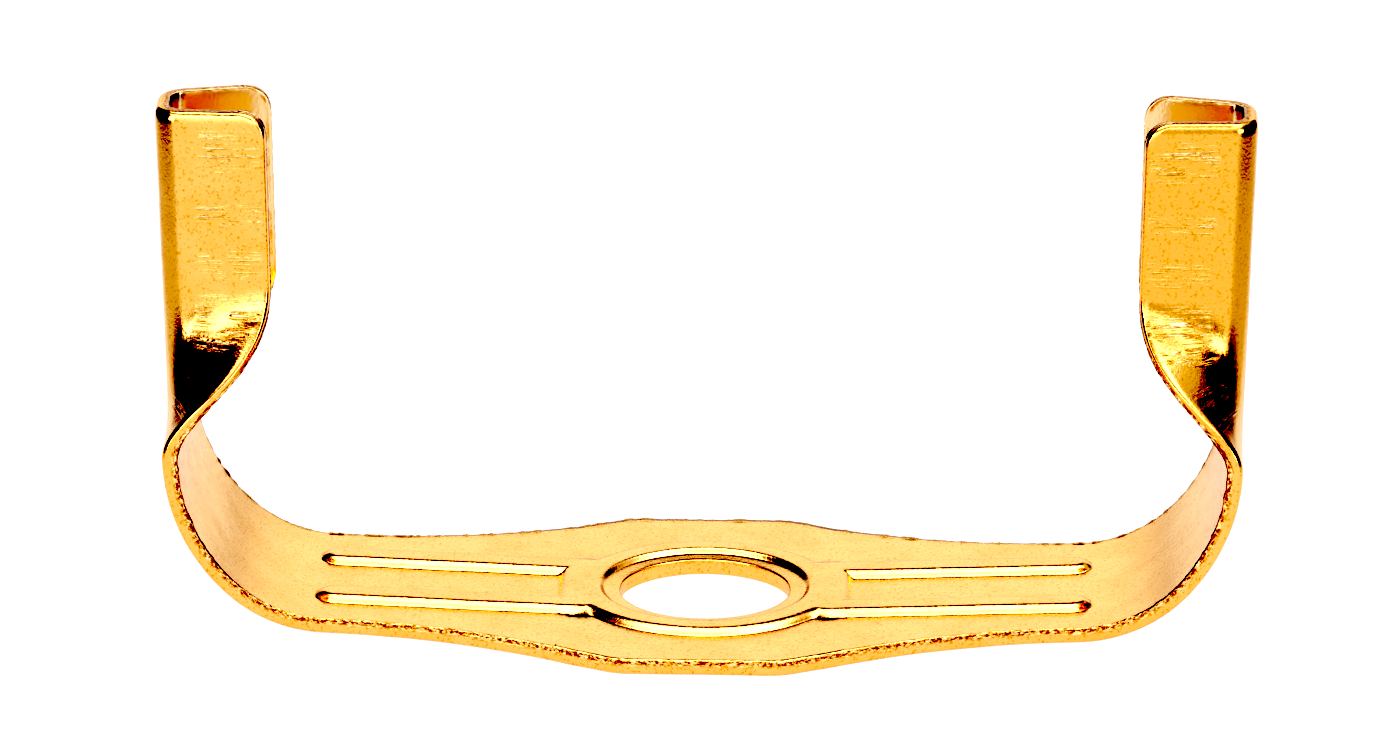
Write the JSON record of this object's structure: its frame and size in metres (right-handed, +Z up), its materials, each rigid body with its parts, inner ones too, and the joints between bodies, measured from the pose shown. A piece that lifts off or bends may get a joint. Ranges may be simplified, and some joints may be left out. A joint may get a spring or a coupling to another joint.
{
  "type": "lamp harp saddle",
  "caption": "One-piece U-shaped saddle pressed from metal strip, with a nipple hole in its raised seat and two folded channel legs that take a lamp harp's ends.",
  "frame": {"origin": "on the axis of the nipple hole, level with the saddle's underside", "axes": "+X from the left leg to the right leg, +Y across the strip, +Z up along the nipple hole"},
  "size_m": [0.0668, 0.0254, 0.0321],
  "materials": {
    "brass_plate": "bright brass plating over pressed steel, with die lines and a cut edge"
  },
  "bodies": {
    "root": {"saddle": "brass_plate"}
  },
  "joints": []
}
